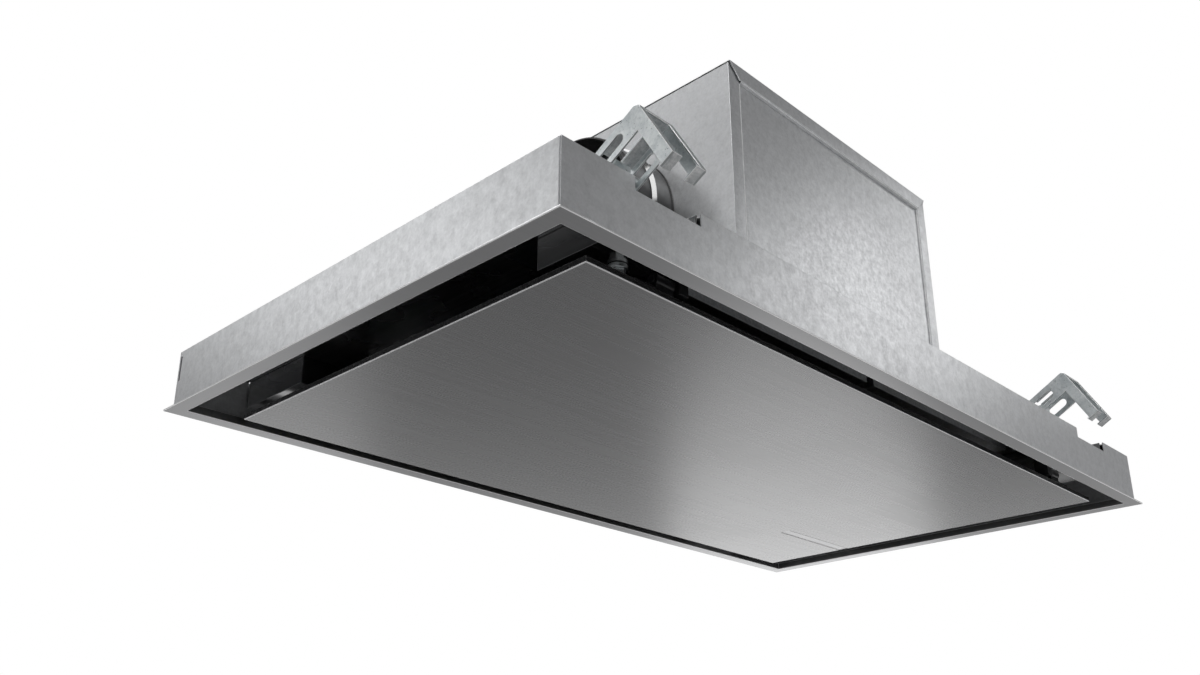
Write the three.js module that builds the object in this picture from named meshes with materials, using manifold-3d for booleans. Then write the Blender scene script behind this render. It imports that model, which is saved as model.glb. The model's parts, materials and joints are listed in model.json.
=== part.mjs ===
// Ceiling-recessed range hood with perimeter extraction, modelled as an assembly of separate pieces.
// Units are millimetres and +Z is up. The origin is the centre of the trim flange's underside.
// The long sides face -Y (front) and +Y (rear), and the air leaves the blower box towards -X.
import * as THREE from "three";
import { mergeVertices } from "three/addons/utils/BufferGeometryUtils.js";
import Module from "manifold-3d";

const wasm = await Module();
wasm.setup();

// ---- Driving dimensions ----
const FLANGE_LENGTH = 900; // trim flange outside, along X
const FLANGE_WIDTH = 500; // trim flange outside, along Y
const FLANGE_OVERHANG = 6; // how far the flange stands proud of the casing
const FLANGE_INSET = 9; // how far it reaches inside the casing's outer faces
const SHEET = 1.5; // sheet-metal thickness
const GAP = 0.3; // assembly gap between touching pieces
const CASING_HEIGHT = 56; // top of the ceiling casing
const OVERALL_HEIGHT = 300; // top of the blower box lid
const BOX_SIDE = 340; // blower box, square in plan
const PANEL_LENGTH = 784;
const PANEL_WIDTH = 428;
const PANEL_BOTTOM = -2;
const PANEL_TOP = 3;
const DUCT_DIAMETER = 150;
const DUCT_LENGTH = 60;
const DUCT_Y = -27;
const DUCT_Z = 175;
const CLAW_X = 342.75; // centre of each ceiling claw from the middle
const CLAW_NOTCH_WIDTH = 67.5;
const CLAW_NOTCH_DEPTH = 10.5;
const CLAW_PIVOT_INSET = 48.3; // from the casing's outer long face to the claw's pivot
const CLAW_PIVOT_HEIGHT = 94.9;
const PANEL_HINGE_Y = -208;
const PANEL_HINGE_Z = 13;
const PANEL_HINGE_X = 312;
const FAN_X = 35; // vertical fan axis
const FAN_Y = 55;
const CIRCLE_STEPS = 32;

// ---- Derived dimensions ----
const CASING_X = FLANGE_LENGTH / 2 - FLANGE_OVERHANG;
const CASING_Y = FLANGE_WIDTH / 2 - FLANGE_OVERHANG;
const WALL_BOTTOM = SHEET + GAP;
const ROOF_TOP = CASING_HEIGHT - SHEET;
const ROOF_BOTTOM = ROOF_TOP - SHEET;
const BOX_HALF = BOX_SIDE / 2;
const BOX_BOTTOM = ROOF_TOP + GAP;
const LID_UNDERSIDE = OVERALL_HEIGHT - SHEET;
const BOX_TOP = LID_UNDERSIDE - GAP;
const PANEL_X = PANEL_LENGTH / 2;
const PANEL_Y = PANEL_WIDTH / 2;
const PANEL_FLOOR = PANEL_BOTTOM + SHEET;
const NOTCH_FLOOR = CASING_HEIGHT - CLAW_NOTCH_DEPTH;
const CLAW_PIVOT_Y = CASING_Y - CLAW_PIVOT_INSET;
const CORNERS = [
  ["front_left", -1, -1],
  ["front_right", 1, -1],
  ["rear_left", -1, 1],
  ["rear_right", 1, 1],
];
const SIDES = [
  ["left", -1],
  ["right", 1],
];

// ---- Finishes ----
const finish = (color, roughness, metalness) =>
  new THREE.MeshStandardMaterial({ color, roughness, metalness });
const galvanised = () => finish(0xb9bcbf, 0.45, 0.9);
const brushedSteel = () => finish(0x8f9193, 0.35, 1);
const darkSteel = () => finish(0x3c3e42, 0.2, 1);
const zinc = () => finish(0xc9d2d6, 0.4, 0.9);
const blackPlastic = () => finish(0x101113, 0.3, 0);
const greyPlastic = () => finish(0x55595c, 0.6, 0);
const aluminium = () => finish(0xa7abae, 0.5, 0.9);
const board = () => finish(0x1d5a3a, 0.6, 0);
const fanPlastic = () => finish(0x2a2c2f, 0.5, 0);

// ---- Solid helpers ----
function toSolid(geometry) {
  const bare = geometry.clone();
  bare.deleteAttribute("normal");
  bare.deleteAttribute("uv");
  const merged = mergeVertices(bare, 1e-4);
  return new wasm.Manifold(
    new wasm.Mesh({
      numProp: 3,
      vertProperties: Float32Array.from(merged.attributes.position.array),
      triVerts: Uint32Array.from(merged.index.array),
    }),
  );
}

function toGeometry(solid) {
  const mesh = solid.getMesh();
  const geometry = new THREE.BufferGeometry();
  geometry.setAttribute("position", new THREE.BufferAttribute(mesh.vertProperties, 3));
  geometry.setIndex(new THREE.BufferAttribute(mesh.triVerts, 1));
  geometry.computeVertexNormals();
  return geometry;
}

const join = (first, ...others) =>
  toGeometry(others.reduce((whole, piece) => whole.add(toSolid(piece)), toSolid(first)));

const cut = (first, ...tools) =>
  toGeometry(tools.reduce((whole, tool) => whole.subtract(toSolid(tool)), toSolid(first)));

function block([x0, x1], [y0, y1], [z0, z1]) {
  const box = new THREE.BoxGeometry(x1 - x0, y1 - y0, z1 - z0);
  return box.translate((x0 + x1) / 2, (y0 + y1) / 2, (z0 + z1) / 2);
}

// A round bar along one axis, from one end to the other.
function bar(axis, radius, [from, to], [a, b], steps = CIRCLE_STEPS) {
  const round = new THREE.CylinderGeometry(radius, radius, to - from, steps);
  const middle = (from + to) / 2;
  if (axis === "x") return round.rotateZ(Math.PI / 2).translate(middle, a, b);
  if (axis === "y") return round.translate(a, middle, b);
  return round.rotateX(Math.PI / 2).translate(a, b, middle);
}

// A flat outline extruded up +Z.
function slab(points, [z0, z1], holes = []) {
  const shape = new THREE.Shape(points.map(([x, y]) => new THREE.Vector2(x, y)));
  for (const hole of holes) shape.holes.push(new THREE.Path(hole.map(([x, y]) => new THREE.Vector2(x, y))));
  const solid = new THREE.ExtrudeGeometry(shape, { depth: z1 - z0, bevelEnabled: false });
  return solid.translate(0, 0, z0);
}

const ordered = (a, b) => [Math.min(a, b), Math.max(a, b)];

const rectangle = (x, y) => [[-x, -y], [x, -y], [x, y], [-x, y]];

const circle = (x, y, radius, steps = CIRCLE_STEPS) =>
  Array.from({ length: steps }, (_, i) => {
    const angle = (2 * Math.PI * i) / steps;
    return [x + radius * Math.cos(angle), y + radius * Math.sin(angle)];
  });

// The outline of a slot with round ends, along X.
function capsule([x0, x1], y, radius) {
  const steps = 8;
  const half = (x, from) =>
    Array.from({ length: steps + 1 }, (_, i) => {
      const angle = from + (Math.PI * i) / steps;
      return [x + radius * Math.cos(angle), y + radius * Math.sin(angle)];
    });
  return [...half(x0, Math.PI / 2), ...half(x1, -Math.PI / 2)];
}

// A closed profile of [radius, height] points turned about Z.
function turned(profile, steps = CIRCLE_STEPS) {
  const points = [...profile, profile[0]].map(([r, h]) => new THREE.Vector2(r, h));
  return new THREE.LatheGeometry(points, steps).rotateX(Math.PI / 2);
}

const model = new THREE.Group();

function add(name, geometry, material, [x, y, z] = [0, 0, 0], turn = 0) {
  const mesh = new THREE.Mesh(geometry, material);
  mesh.name = name;
  mesh.position.set(x, y, z);
  mesh.rotation.z = turn;
  model.add(mesh);
}

// ---- Ceiling casing ----
function ceilingFlange() {
  const innerX = CASING_X - FLANGE_INSET;
  const innerY = CASING_Y - FLANGE_INSET;
  const lipTop = 8;
  const rim = slab(rectangle(FLANGE_LENGTH / 2, FLANGE_WIDTH / 2), [0, SHEET], [rectangle(innerX, innerY)]);
  const lipOutline = rectangle(innerX + SHEET, innerY + SHEET);
  const lip = slab(lipOutline, [SHEET / 2, lipTop], [rectangle(innerX, innerY)]);
  return join(rim, lip);
}

// A long wall stands on the flange, with a notch in its top edge for each of its two claws.
function longWall(side) {
  const notches = SIDES.map(([, end]) => {
    const middle = end * CLAW_X;
    const half = CLAW_NOTCH_WIDTH / 2;
    const width = [middle - half, middle + half];
    return block(width, [-CASING_Y - 1, CASING_Y + 1], [NOTCH_FLOOR, CASING_HEIGHT + 1]);
  });
  const faces = ordered(side * CASING_Y, side * (CASING_Y - SHEET));
  return cut(block([-CASING_X, CASING_X], faces, [WALL_BOTTOM, CASING_HEIGHT]), ...notches);
}

// A short wall fits between the long ones and leaves a narrow fold relief at its rear end.
function shortWall(side) {
  const reliefDepth = 2.5;
  const halfWidth = CASING_Y - SHEET - GAP;
  const faces = ordered(side * CASING_X, side * (CASING_X - SHEET));
  const wall = block(faces, [-halfWidth, halfWidth], [WALL_BOTTOM, CASING_HEIGHT]);
  const relief = block([-CASING_X - 1, CASING_X + 1], [halfWidth - reliefDepth, halfWidth + 1], [28, 51]);
  return cut(wall, relief);
}

const WELL_HALF = CLAW_NOTCH_WIDTH / 2;
const WELL_OUTER_Y = CASING_Y - SHEET - 2;
const WELL_INNER_Y = 150;
const WELL_BOTTOM = 20;

// Both Y faces of a claw's well, lowest first.
const wellSpan = (side, inset) =>
  ordered(side * (WELL_INNER_Y + inset), side * (WELL_OUTER_Y - inset));

// An open-topped pocket below the roof that a claw's lower end sinks into.
function clawWell(endX, sideY) {
  const middle = endX * CLAW_X;
  const wall = SHEET;
  const width = [middle - WELL_HALF, middle + WELL_HALF];
  const innerWidth = [middle - WELL_HALF + wall, middle + WELL_HALF - wall];
  const outside = block(width, wellSpan(sideY, 0), [WELL_BOTTOM, CASING_HEIGHT]);
  const inside = block(innerWidth, wellSpan(sideY, wall), [WELL_BOTTOM + wall, CASING_HEIGHT + 1]);
  const outerEdge = ordered(sideY * (WELL_OUTER_Y - wall - 1), sideY * (WELL_OUTER_Y + 1));
  const lowered = block(innerWidth, outerEdge, [NOTCH_FLOOR - 2, CASING_HEIGHT + 1]);
  const screwHole = bar("z", 3.8, [WELL_BOTTOM - 1, WELL_BOTTOM + 4], [middle, sideY * CLAW_PIVOT_Y], 16);
  return cut(outside, inside, lowered, screwHole);
}

// The opening for one well, which runs out to the casing's long wall.
const wellTool = (endX, sideY, z) =>
  block(
    [endX * CLAW_X - WELL_HALF - GAP, endX * CLAW_X + WELL_HALF + GAP],
    ordered(sideY * (WELL_INNER_Y - GAP), sideY * CASING_Y),
    z,
  );

const FAN_INLET_RADIUS = 68;

function roofPlate() {
  const x = CASING_X - SHEET - GAP;
  const y = CASING_Y - SHEET - GAP;
  const plate = slab(rectangle(x, y), [ROOF_BOTTOM, ROOF_TOP], [circle(FAN_X, FAN_Y, FAN_INLET_RADIUS + 6)]);
  return cut(plate, ...CORNERS.map(([, ex, ey]) => wellTool(ex, ey, [ROOF_BOTTOM - 1, CASING_HEIGHT])));
}

// A polished soffit closes the casing from within at each short end.
const BAFFLE_INNER_X = 290;
const BAFFLE_Z = [45, 46.5];

function endBaffle(side) {
  const x = ordered(side * BAFFLE_INNER_X, side * (CASING_X - SHEET - GAP));
  const y = CASING_Y - SHEET - GAP;
  const plate = block(x, [-y, y], BAFFLE_Z);
  return cut(plate, wellTool(side, -1, [40, 60]), wellTool(side, 1, [40, 60]));
}

add("ceiling_flange", ceilingFlange(), brushedSteel());
add("casing_wall_front", longWall(-1), galvanised());
add("casing_wall_rear", longWall(1), galvanised());
for (const [name, side] of SIDES) {
  add(`casing_wall_${name}`, shortWall(side), galvanised());
  add(`end_baffle_${name}`, endBaffle(side), darkSteel());
}
add("roof_plate", roofPlate(), galvanised());

// ---- Ceiling claws ----
// A claw is an L-shaped channel: a leg that rides on its nut's pins, and an arm with two bent feet.
const CLAW_WIDTH = 36;
const CLAW_SHEET = 1.8;
const CLAW_LEG = 78;
const CLAW_LEG_DEPTH = 20;
const CLAW_ARM = 62;
const CLAW_ARM_DEPTH = 11.5;
const CLAW_PIVOT_ALONG = 48; // pivot from the apex, along the leg
const CLAW_PIVOT_ACROSS = 10.5; // pivot from the leg's top face
const CLAW_LEG_TILT = Math.PI / 6; // leg below the horizontal

function claw() {
  const half = CLAW_WIDTH / 2;
  const inner = half - CLAW_SHEET;
  // Drawn flat: X is along the leg, Y across it towards its underside, and Z across the claw.
  const outline = [
    [3, 0],
    [CLAW_LEG, 0],
    [CLAW_LEG, CLAW_LEG_DEPTH],
    [CLAW_ARM_DEPTH, CLAW_LEG_DEPTH],
    [CLAW_ARM_DEPTH, CLAW_ARM],
    [0, CLAW_ARM],
    [0, 3],
  ];
  const channel = slab(outline, [-half, half]);
  const hollow = block([CLAW_SHEET, CLAW_LEG + 1], [CLAW_SHEET, CLAW_ARM + 1], [-inner, inner]);
  const webSlot = block([17, 45], [-1, CLAW_SHEET + 1], [-4.5, 4.5]);
  const webEnd = block([44, CLAW_LEG + 1], [-1, CLAW_SHEET + 1], [-inner, inner]);
  const armWindow = block([-1, CLAW_SHEET + 1], [6, CLAW_ARM + 1], [-12.5, 12.5]);
  const slot = slab(capsule([27, 68], CLAW_PIVOT_ACROSS, 4.5), [-half - 1, half + 1]);
  const bent = cut(channel, hollow, webSlot, webEnd, armWindow, slot);
  const footReach = 10.5;
  const feet = [-1, 1].map((side) => {
    const z = ordered(side * (half - footReach), side * half);
    return block([0, CLAW_ARM_DEPTH + 2], [CLAW_ARM - CLAW_SHEET, CLAW_ARM], z);
  });
  const flat = join(bent, ...feet);
  // Stand it up: the drawing's X runs inward and down the leg, and its Z runs along the casing.
  flat.translate(-CLAW_PIVOT_ALONG, -CLAW_PIVOT_ACROSS, 0);
  const along = new THREE.Vector3(0, Math.cos(CLAW_LEG_TILT), -Math.sin(CLAW_LEG_TILT));
  const across = new THREE.Vector3(0, -Math.sin(CLAW_LEG_TILT), -Math.cos(CLAW_LEG_TILT));
  const over = new THREE.Vector3().crossVectors(along, across);
  return flat.applyMatrix4(new THREE.Matrix4().makeBasis(along, across, over));
}

const SCREW_RADIUS = 3;

function clawNut() {
  const pins = bar("x", 4.1, [-21, 21], [0, 0], 20);
  const body = block([-8, 8], [-6, 6], [-5, 5]);
  return cut(join(pins, body), bar("z", SCREW_RADIUS + 0.4, [-10, 10], [0, 0], 16));
}

function clawScrew() {
  const head = bar("z", 6, [11, 17], [0, 0], 6);
  const washer = bar("z", 7.5, [16.5, WELL_BOTTOM - GAP], [0, 0], 20);
  const shank = bar("z", SCREW_RADIUS, [15, CLAW_PIVOT_HEIGHT + 6], [0, 0], 16);
  return join(head, washer, shank);
}

for (const [name, ex, ey] of CORNERS) {
  const turn = ey > 0 ? Math.PI : 0;
  const x = ex * CLAW_X;
  const y = ey * CLAW_PIVOT_Y;
  add(`claw_well_${name}`, clawWell(ex, ey), blackPlastic());
  add(`claw_${name}`, claw(), zinc(), [x, y, CLAW_PIVOT_HEIGHT], turn);
  add(`claw_nut_${name}`, clawNut(), zinc(), [x, y, CLAW_PIVOT_HEIGHT]);
  add(`claw_screw_${name}`, clawScrew(), zinc(), [x, y, 0]);
}

// ---- Filters and their tray ----
const TRAY_X = 280;
const TRAY_Y = 200;
const TRAY_PLATE = [44, 45.5];
const FILTER_INNER_X = 6;
const FILTER_OUTER_X = 262;
const FILTER_Y = 185;
const FILTER_Z = [33, 43];
const FILTER_RIM = 12;

// An open-topped tray below the roof, with an opening for each filter and a hook for each latch.
function filterTray() {
  const outside = block([-TRAY_X, TRAY_X], [-TRAY_Y, TRAY_Y], [TRAY_PLATE[0], ROOF_BOTTOM - GAP]);
  const inside = block(
    [-TRAY_X + SHEET, TRAY_X - SHEET],
    [-TRAY_Y + SHEET, TRAY_Y - SHEET],
    [TRAY_PLATE[1], CASING_HEIGHT],
  );
  const openings = SIDES.map(([, side]) => {
    const x = ordered(side * (FILTER_INNER_X + FILTER_RIM), side * (FILTER_OUTER_X - FILTER_RIM));
    return block(x, [-FILTER_Y + FILTER_RIM, FILTER_Y - FILTER_RIM], [TRAY_PLATE[0] - 1, TRAY_PLATE[1] + 1]);
  });
  const hooks = SIDES.flatMap(([, side]) => {
    const riserX = ordered(side * (FILTER_OUTER_X + 6.5), side * (FILTER_OUTER_X + 8));
    const toeX = ordered(side * (FILTER_OUTER_X + 1), side * (FILTER_OUTER_X + 8));
    return [
      block(riserX, [-22, 22], [FILTER_Z[0] - 2, TRAY_PLATE[0] + 1]),
      block(toeX, [-22, 22], [FILTER_Z[0] - 2, FILTER_Z[0]]),
    ];
  });
  return join(cut(outside, inside, ...openings), ...hooks);
}

const LATCH_TRAVEL = 8;
const LATCH_X = [FILTER_OUTER_X - 37, FILTER_OUTER_X + 6]; // locked, with its tongue past the filter's edge

// A framed grease filter: a slab with a raised rim and a recess that its latch slides in.
function greaseFilter(side) {
  const x = ordered(side * FILTER_INNER_X, side * FILTER_OUTER_X);
  const frame = block(x, [-FILTER_Y, FILTER_Y], FILTER_Z);
  const field = block(
    [x[0] + FILTER_RIM, x[1] - FILTER_RIM],
    [-FILTER_Y + FILTER_RIM, FILTER_Y - FILTER_RIM],
    [FILTER_Z[0] - 1, FILTER_Z[0] + 2],
  );
  const pocketX = ordered(side * (LATCH_X[0] - LATCH_TRAVEL - 1), side * (LATCH_X[1] + 1));
  const latchPocket = block(pocketX, [-24, 24], [FILTER_Z[0] - 1, FILTER_Z[0] + 5]);
  return cut(frame, field, latchPocket);
}

// The latch is a finger pull on a plate whose end rests on the tray's hook.
function filterLatch(side) {
  const plateZ = [FILTER_Z[0] + 0.3, FILTER_Z[0] + 4.5];
  const plate = block(ordered(side * LATCH_X[0], side * LATCH_X[1]), [-22, 22], plateZ);
  const pullX = side * (FILTER_OUTER_X - 24);
  const pull = block([pullX - 3, pullX + 3], [-18, 18], [FILTER_Z[0] - 6, FILTER_Z[0] + 1]);
  return join(plate, pull);
}

add("filter_tray", filterTray(), galvanised());
for (const [name, side] of SIDES) {
  add(`grease_filter_${name}`, greaseFilter(side), aluminium());
  add(`filter_latch_${name}`, filterLatch(side), greyPlastic());
}

// ---- Cover panel ----
const BADGE_LENGTH = 126;
const BADGE_Y = [96, 109.5];

function coverPanel() {
  const shell = block([-PANEL_X, PANEL_X], [-PANEL_Y, PANEL_Y], [PANEL_BOTTOM, PANEL_TOP]);
  const inside = block(
    [-PANEL_X + SHEET, PANEL_X - SHEET],
    [-PANEL_Y + SHEET, PANEL_Y - SHEET],
    [PANEL_FLOOR, PANEL_TOP + 1],
  );
  const badgeDepth = [PANEL_BOTTOM - 1, PANEL_BOTTOM + 0.8];
  const badgeRecess = block([PANEL_X - BADGE_LENGTH, PANEL_X + 1], BADGE_Y, badgeDepth);
  return cut(shell, inside, badgeRecess);
}

const PAN_X = PANEL_X - 25;
const PAN_Y = PANEL_Y - 26;
const PAN_TOP = 8;

function coverBackPan() {
  const outside = block([-PAN_X, PAN_X], [-PAN_Y, PAN_Y], [PANEL_FLOOR + GAP, PAN_TOP]);
  const inside = block(
    [-PAN_X + SHEET, PAN_X - SHEET],
    [-PAN_Y + SHEET, PAN_Y - SHEET],
    [PANEL_FLOOR - 1, PAN_TOP - SHEET],
  );
  return cut(outside, inside);
}

// The fixed half of a hinge: an ear that hangs from the roof and carries the pin.
function hingeBracket(side) {
  const earX = ordered(side * (PANEL_HINGE_X - 22), side * (PANEL_HINGE_X - 12));
  const pinX = ordered(side * (PANEL_HINGE_X - 14), side * (PANEL_HINGE_X + 10));
  const ear = block(earX, [PANEL_HINGE_Y - 7, PANEL_HINGE_Y + 7], [PANEL_HINGE_Z - 6, BAFFLE_Z[0] - GAP]);
  const pin = bar("x", 3, pinX, [PANEL_HINGE_Y, PANEL_HINGE_Z], 20);
  return join(ear, pin);
}

// The moving half: a knuckle post on a long foot that is welded inside the panel.
function hingeArm(side) {
  const postX = ordered(side * (PANEL_HINGE_X - 9), side * (PANEL_HINGE_X + 9));
  const footX = ordered(side * (PANEL_HINGE_X - 9), side * (PANEL_HINGE_X + 30));
  const footBottom = PANEL_FLOOR + GAP;
  const yRange = [PANEL_HINGE_Y - 4, PANEL_HINGE_Y + 6];
  const post = block(postX, yRange, [footBottom, PANEL_HINGE_Z]);
  const foot = block(footX, yRange, [footBottom, footBottom + 6]);
  const knuckle = bar("x", 5.5, postX, [PANEL_HINGE_Y, PANEL_HINGE_Z], 24);
  const bore = bar("x", 3.4, [-CASING_X, CASING_X], [PANEL_HINGE_Y, PANEL_HINGE_Z], 20);
  return cut(join(post, foot, knuckle), bore);
}

const CATCH_X = 270;
const CATCH_Y = 196;

function catchStud(side) {
  const footBottom = PANEL_FLOOR + GAP;
  const foot = block(
    [side * CATCH_X - 14, side * CATCH_X + 14],
    [CATCH_Y - 6, CATCH_Y + 10],
    [footBottom, footBottom + 3],
  );
  const stud = bar("z", 4, [footBottom + 1, 24], [side * CATCH_X, CATCH_Y + 2], 20);
  return join(foot, stud);
}

function catchClip(side) {
  const height = [17, TRAY_PLATE[0] - GAP];
  const body = block([side * CATCH_X - 11, side * CATCH_X + 11], [CATCH_Y - 9, CATCH_Y + 13], height);
  return cut(body, bar("z", 5.6, [16, 30], [side * CATCH_X, CATCH_Y + 2], 20));
}

add("cover_panel", coverPanel(), brushedSteel());
add("cover_back_pan", coverBackPan(), darkSteel());
for (const [name, side] of SIDES) {
  add(`hinge_bracket_${name}`, hingeBracket(side), blackPlastic());
  add(`hinge_arm_${name}`, hingeArm(side), blackPlastic());
  add(`catch_stud_${name}`, catchStud(side), blackPlastic());
  add(`catch_clip_${name}`, catchClip(side), blackPlastic());
}

// ---- Blower box ----
const BOX_WRAP = 15; // corner flanges folded onto the front and rear faces

// A side sheet is a channel whose two flanges wrap onto the front and rear panels.
function boxSide(side) {
  const inner = BOX_HALF - SHEET;
  const wrapEnd = BOX_HALF - BOX_WRAP;
  const outline = [
    [-BOX_HALF, -BOX_HALF],
    [-wrapEnd, -BOX_HALF],
    [-wrapEnd, -inner],
    [-inner, -inner],
    [-inner, inner],
    [-wrapEnd, inner],
    [-wrapEnd, BOX_HALF],
    [-BOX_HALF, BOX_HALF],
  ];
  const sheet = slab(outline, [BOX_BOTTOM, BOX_TOP]);
  if (side < 0) return cut(sheet, bar("x", DUCT_DIAMETER / 2 - 2, [-BOX_SIDE, 0], [DUCT_Y, DUCT_Z]));
  return sheet.rotateZ(Math.PI);
}

const CONTROL_X = [-160, -72];
const CONTROL_Y = [107, 163];
const CONTROL_Z = [160, 280];
const GLAND_X = -116;
const GLAND_Z = 262;

function boxFace(side) {
  const outer = BOX_HALF - SHEET - GAP;
  const faces = ordered(side * outer, side * (outer - SHEET));
  const sheet = block([-outer, outer], faces, [BOX_BOTTOM, BOX_TOP]);
  if (side < 0) return sheet;
  return cut(sheet, bar("y", 8.3, [0, BOX_SIDE], [GLAND_X, GLAND_Z], 20));
}

function boxLid() {
  const rimDepth = 15;
  const rimInner = BOX_HALF + GAP;
  const rimOuter = rimInner + SHEET;
  const top = block([-BOX_HALF, BOX_HALF], [-rimOuter, rimOuter], [LID_UNDERSIDE, OVERALL_HEIGHT]);
  const rims = [-1, 1].map((side) => {
    const y = ordered(side * rimInner, side * rimOuter);
    return block([-BOX_HALF, BOX_HALF], y, [OVERALL_HEIGHT - rimDepth, OVERALL_HEIGHT - SHEET / 2]);
  });
  return join(top, ...rims);
}

for (const [name, side] of SIDES) add(`box_side_${name}`, boxSide(side), galvanised());
add("box_panel_front", boxFace(-1), galvanised());
add("box_panel_rear", boxFace(1), galvanised());
add("box_lid", boxLid(), galvanised());

// ---- Duct collar and back-draught flaps ----
const COLLAR_WALL = 2;
const COLLAR_INSIDE = DUCT_DIAMETER / 2 - COLLAR_WALL;
const FLAP_X = -BOX_HALF - 8;

function ductCollar() {
  const outside = DUCT_DIAMETER / 2;
  const profile = [
    [COLLAR_INSIDE, 0],
    [outside + 7, 0],
    [outside + 7, 2.5],
    [outside, 4],
    [outside, 24],
    [outside + 2, 26],
    [outside, 28],
    [outside - 0.8, DUCT_LENGTH],
    [COLLAR_INSIDE, DUCT_LENGTH],
  ];
  return turned(profile, 48).rotateY(-Math.PI / 2);
}

// One half-disc flap, drawn in the YZ plane on its own side of the upright pin.
function backDraughtFlap(side) {
  const radius = COLLAR_INSIDE - 1.2;
  const first = 4.4; // the plate's straight edge, clear of the other flap's knuckles
  const start = Math.acos(first / radius);
  const steps = 14;
  const outline = Array.from({ length: steps + 1 }, (_, i) => {
    const angle = -start + (2 * start * i) / steps;
    return [side * radius * Math.cos(angle), radius * Math.sin(angle)];
  });
  const disc = slab(side > 0 ? outline : outline.reverse(), [0, 1.2]);
  const knuckleZ = side > 0 ? [[20, 40], [-40, -20]] : [[42, 60], [-18, 18], [-60, -42]];
  const knuckles = knuckleZ.map((span) => bar("y", 3.4, span, [0, 0.6], 16));
  const links = knuckleZ.map(([low, high]) => {
    const reach = ordered(side * 2.5, side * 8);
    return block(reach, [low, high], [0, 1.2]);
  });
  const flat = cut(join(disc, ...knuckles, ...links), bar("y", 2.3, [-80, 80], [0, 0.6], 16));
  // Stand it up: the drawing's X runs along the world's Y, and its Y along the world's Z.
  const basis = new THREE.Matrix4().makeBasis(
    new THREE.Vector3(0, 1, 0),
    new THREE.Vector3(0, 0, 1),
    new THREE.Vector3(1, 0, 0),
  );
  return flat.translate(0, 0, -0.6).applyMatrix4(basis);
}

const flapPin = () => bar("z", 2, [-COLLAR_INSIDE + 0.4, COLLAR_INSIDE - 0.4], [0, 0], 16);

add("duct_collar", ductCollar(), blackPlastic(), [-BOX_HALF - GAP, DUCT_Y, DUCT_Z]);
add("flap_pin", flapPin(), zinc(), [FLAP_X, DUCT_Y, DUCT_Z]);
add("flap_front", backDraughtFlap(-1), blackPlastic(), [FLAP_X, DUCT_Y, DUCT_Z]);
add("flap_rear", backDraughtFlap(1), blackPlastic(), [FLAP_X, DUCT_Y, DUCT_Z]);

// ---- Blower ----
const IMPELLER_RADIUS = 75;
const IMPELLER_Z = [122, 218];
const SCROLL_Z = [110, 240];
const SCROLL_WALL = 1.5;
const TONGUE_ANGLE = (215 * Math.PI) / 180;
const SCROLL_SWEEP = (305 * Math.PI) / 180;
const SCROLL_START = 84;
const SCROLL_GROWTH = 50;
const MOUTH_X = -BOX_HALF + SHEET + GAP;

// The scroll's outline in plan: a growing spiral that runs clockwise, then a mouth that opens towards -X.
function scrollOutline(wall) {
  const mouthX = MOUTH_X + wall * 4;
  const steps = 30;
  const spiral = Array.from({ length: steps + 1 }, (_, i) => {
    const turn = i / steps;
    const radius = SCROLL_START + SCROLL_GROWTH * turn + wall;
    const angle = TONGUE_ANGLE - SCROLL_SWEEP * turn;
    return [FAN_X + radius * Math.cos(angle), FAN_Y + radius * Math.sin(angle)];
  });
  return [[mouthX, 38 + wall], ...spiral, [mouthX, -92 - wall]].reverse();
}

function scrollHousing() {
  const shell = slab(scrollOutline(0), [SCROLL_Z[0], SCROLL_Z[1]]);
  const hollow = slab(scrollOutline(-SCROLL_WALL), [SCROLL_Z[0] + SCROLL_WALL, SCROLL_Z[1] + 1]);
  const inlet = bar("z", FAN_INLET_RADIUS, [SCROLL_Z[0] - 1, SCROLL_Z[0] + 5], [FAN_X, FAN_Y]);
  return cut(shell, hollow, inlet);
}

function scrollTop() {
  const plate = slab(scrollOutline(0), [SCROLL_Z[1] + GAP, SCROLL_Z[1] + GAP + SCROLL_WALL]);
  return cut(plate, bar("z", 50, [SCROLL_Z[1] - 1, SCROLL_Z[1] + 5], [FAN_X, FAN_Y]));
}

// A flared ring leads the air from the roof plate's opening up into the scroll.
function inletBell() {
  const bottom = ROOF_TOP + GAP;
  const top = SCROLL_Z[0] - GAP;
  const throat = FAN_INLET_RADIUS;
  return turned([
    [throat + 14, bottom],
    [throat + 16, bottom],
    [throat + 4, bottom + 26],
    [throat + 1.5, top],
    [throat, top],
    [throat + 2.5, bottom + 26],
  ]);
}

function impeller() {
  const [bottom, top] = IMPELLER_Z;
  const bladeCount = 24;
  const inner = IMPELLER_RADIUS - 15;
  const plate = bar("z", IMPELLER_RADIUS, [top - 2, top], [0, 0]);
  const hub = bar("z", 14, [top - 20, top - 1], [0, 0], 20);
  const ring = slab(circle(0, 0, IMPELLER_RADIUS), [bottom, bottom + 4], [circle(0, 0, inner)]);
  const blades = Array.from({ length: bladeCount }, (_, i) => {
    const blade = block([inner + 1, IMPELLER_RADIUS - 1], [-0.8, 0.8], [bottom + 1, top - 1]);
    blade.translate(-inner - 8, 0, 0).rotateZ(0.6).translate(inner + 8, 0, 0);
    return blade.rotateZ((2 * Math.PI * i) / bladeCount);
  });
  return cut(join(plate, hub, ring, ...blades), bar("z", 4.4, [bottom, top + 1], [0, 0], 16));
}

const MOTOR_PLATE_Z = SCROLL_Z[1] + SCROLL_WALL + 2 * GAP;

function motorPlate() {
  return slab(circle(0, 0, 64), [MOTOR_PLATE_Z, MOTOR_PLATE_Z + 2], [circle(0, 0, 14, 20)]);
}

function motor() {
  const bottom = MOTOR_PLATE_Z + 2 + GAP;
  const can = bar("z", 44, [bottom, bottom + 38], [0, 0]);
  const boss = bar("z", 18, [bottom + 37, bottom + 44], [0, 0], 20);
  return cut(join(can, boss), bar("z", 4.4, [bottom - 1, bottom + 20], [0, 0], 16));
}

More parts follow.
